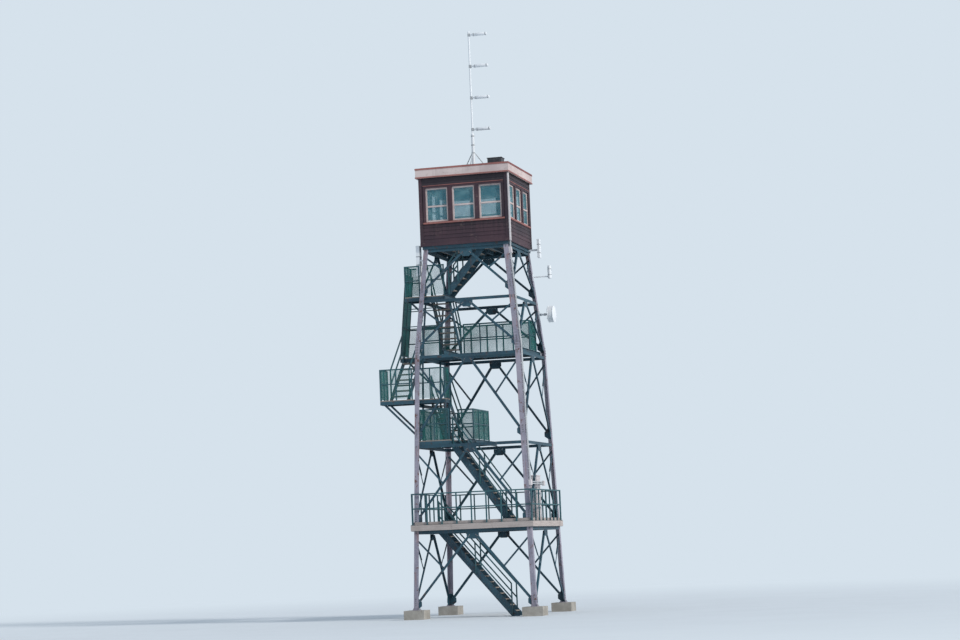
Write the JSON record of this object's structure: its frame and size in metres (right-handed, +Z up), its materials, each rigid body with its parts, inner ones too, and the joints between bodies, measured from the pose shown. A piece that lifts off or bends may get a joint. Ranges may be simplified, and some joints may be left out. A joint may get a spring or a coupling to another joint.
{
  "type": "fire lookout tower",
  "caption": "Braced steel lookout tower on tapered legs, with a railed lower deck, zigzag stairs, side landings, a small square cab with windows all round and a roof mast.",
  "frame": {"origin": "on level ground, under the middle of the whole tower's box", "axes": "+Z up, the front faces -Y, and the side landings reach out to the left, -X"},
  "size_m": [5.415, 4.73, 20],
  "materials": {
    "frame_steel": "weathered grey paint over galvanised steel",
    "brace_steel": "weathered dark grey paint with rust at the joints",
    "rail_steel": "dull green grey paint, worn",
    "concrete": "rough cast concrete",
    "deck_boards": "grey weathered boards",
    "wall_paint": "dull dark red brown paint",
    "trim_paint": "pale pinkish cream paint",
    "glass": "clear, slightly green",
    "roof_metal": "dull grey sheet",
    "gear_white": "matt white covers",
    "gear_dark": "dark grey paint"
  },
  "bodies": {
    "root": {"footings": "concrete", "leg_front_left": "frame_steel", "leg_front_right": "frame_steel", "leg_back_left": "frame_steel", "leg_back_right": "frame_steel", "girts_front": "brace_steel", "girts_right": "brace_steel", "girts_back": "brace_steel", "girts_left": "brace_steel", "braces_front": "brace_steel", "braces_right": "brace_steel", "braces_back": "brace_steel", "braces_left": "brace_steel", "deck_frame": "frame_steel", "deck_floor": "deck_boards", "deck_railing": "rail_steel", "first_landing": "deck_boards", "half_landing": "deck_boards", "second_landing": "deck_boards", "third_landing": "deck_boards", "landing_beams": "brace_steel", "landing_posts": "brace_steel", "landing_railings": "rail_steel", "landing_screen": "rail_steel", "stair_stringers": "brace_steel", "stair_handrails": "rail_steel", "treads_ground": "deck_boards", "treads_deck": "deck_boards", "treads_first": "deck_boards", "treads_half": "deck_boards", "treads_second": "deck_boards", "treads_third": "deck_boards", "cab_floor_frame": "brace_steel", "cab_floor": "deck_boards", "wall_front": "wall_paint", "wall_right": "wall_paint", "wall_back": "wall_paint", "wall_left": "wall_paint", "window_frames": "trim_paint", "window_glass": "glass", "ceiling": "trim_paint", "roof_joists": "deck_boards", "roof": "roof_metal", "fascia": "trim_paint", "roof_box": "gear_dark", "mast": "gear_white", "mast_stays": "gear_white", "side_arms": "gear_white", "dish": "gear_white", "leg_antenna": "gear_white", "panel_antennas": "gear_white", "cabinet": "trim_paint"}
  },
  "joints": []
}
